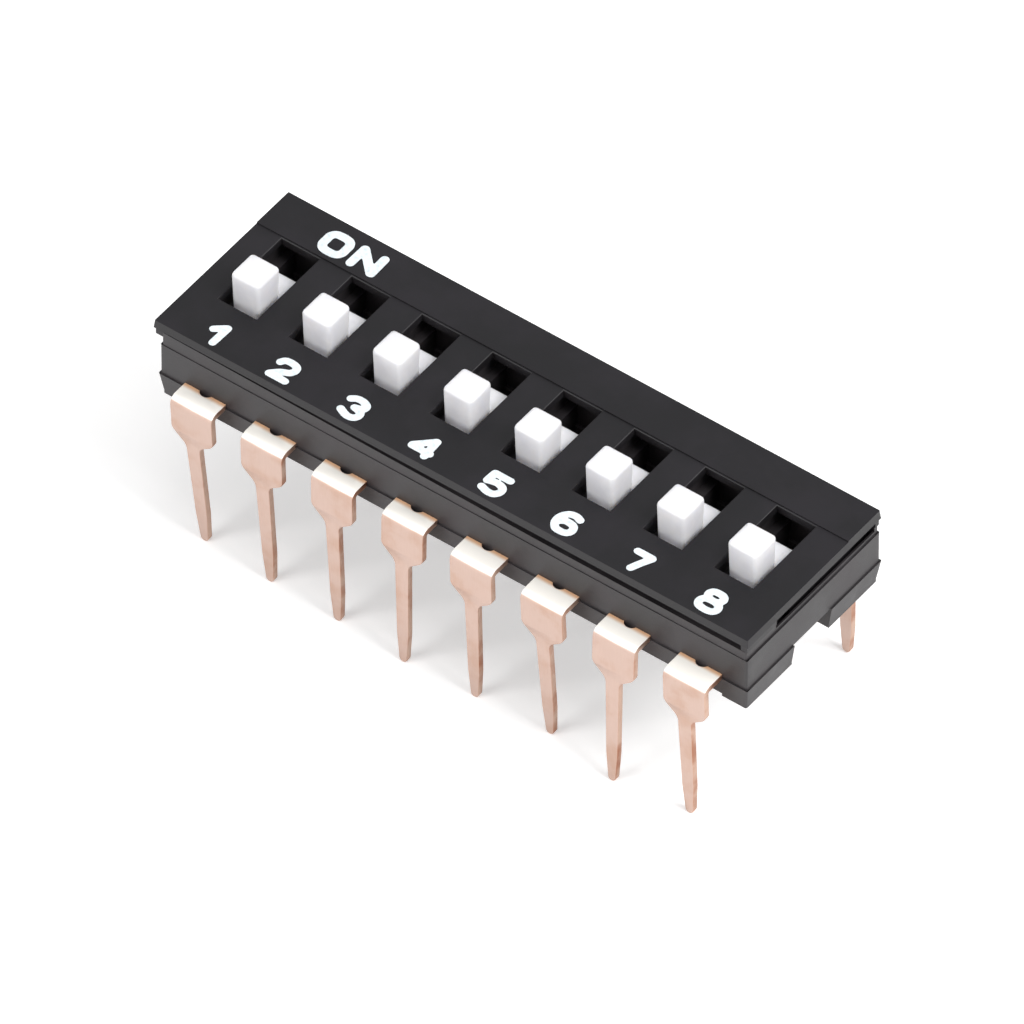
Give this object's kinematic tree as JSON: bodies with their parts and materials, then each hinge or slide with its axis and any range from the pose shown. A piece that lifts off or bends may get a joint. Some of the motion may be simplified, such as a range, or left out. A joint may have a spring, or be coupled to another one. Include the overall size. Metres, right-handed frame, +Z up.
{
  "type": "dip switch",
  "caption": "Flat slide-type DIP switch for through-hole boards: a dark box with white sliders in windows, and flat, wide-shouldered pins bent down along both sides.",
  "frame": {"origin": "middle of the pattern of pins, on the board's surface, which is the underside of the standoff feet", "axes": "+X along the row of positions, from 1 to 8; +Y from the numbered side (OFF) to the ON side; +Z up, away from the board"},
  "size_m": [0.0212, 0.0084, 0.0085],
  "materials": {
    "base_plastic": "moulded black thermoplastic, fine satin",
    "cover_plastic": "moulded black thermoplastic, satin, printed in white",
    "slider_plastic": "moulded white thermoplastic",
    "contact_spring": "bare copper-alloy spring sheet",
    "terminal_plating": "thinly plated copper alloy, satin"
  },
  "bodies": {
    "housing": {"base": "base_plastic", "cover": "cover_plastic", "front_terminal_1": "terminal_plating", "front_terminal_2": "terminal_plating", "front_terminal_3": "terminal_plating", "front_terminal_4": "terminal_plating", "front_terminal_5": "terminal_plating", "front_terminal_6": "terminal_plating", "front_terminal_7": "terminal_plating", "front_terminal_8": "terminal_plating", "back_terminal_1": "terminal_plating", "back_terminal_2": "terminal_plating", "back_terminal_3": "terminal_plating", "back_terminal_4": "terminal_plating", "back_terminal_5": "terminal_plating", "back_terminal_6": "terminal_plating", "back_terminal_7": "terminal_plating", "back_terminal_8": "terminal_plating"},
    "switch_1": {"slider_1": "slider_plastic", "contact_1": "contact_spring"},
    "switch_2": {"slider_2": "slider_plastic", "contact_2": "contact_spring"},
    "switch_3": {"slider_3": "slider_plastic", "contact_3": "contact_spring"},
    "switch_4": {"slider_4": "slider_plastic", "contact_4": "contact_spring"},
    "switch_5": {"slider_5": "slider_plastic", "contact_5": "contact_spring"},
    "switch_6": {"slider_6": "slider_plastic", "contact_6": "contact_spring"},
    "switch_7": {"slider_7": "slider_plastic", "contact_7": "contact_spring"},
    "switch_8": {"slider_8": "slider_plastic", "contact_8": "contact_spring"}
  },
  "joints": [
    {"name": "slide_1", "type": "slide", "parent": "housing", "child": "switch_1", "axis": [0, 1, 0], "range_m": [0, 0.00125]},
    {"name": "slide_2", "type": "slide", "parent": "housing", "child": "switch_2", "axis": [0, 1, 0], "range_m": [0, 0.00125]},
    {"name": "slide_3", "type": "slide", "parent": "housing", "child": "switch_3", "axis": [0, 1, 0], "range_m": [0, 0.00125]},
    {"name": "slide_4", "type": "slide", "parent": "housing", "child": "switch_4", "axis": [0, 1, 0], "range_m": [0, 0.00125]},
    {"name": "slide_5", "type": "slide", "parent": "housing", "child": "switch_5", "axis": [0, 1, 0], "range_m": [0, 0.00125]},
    {"name": "slide_6", "type": "slide", "parent": "housing", "child": "switch_6", "axis": [0, 1, 0], "range_m": [0, 0.00125]},
    {"name": "slide_7", "type": "slide", "parent": "housing", "child": "switch_7", "axis": [0, 1, 0], "range_m": [0, 0.00125]},
    {"name": "slide_8", "type": "slide", "parent": "housing", "child": "switch_8", "axis": [0, 1, 0], "range_m": [0, 0.00125]}
  ]
}
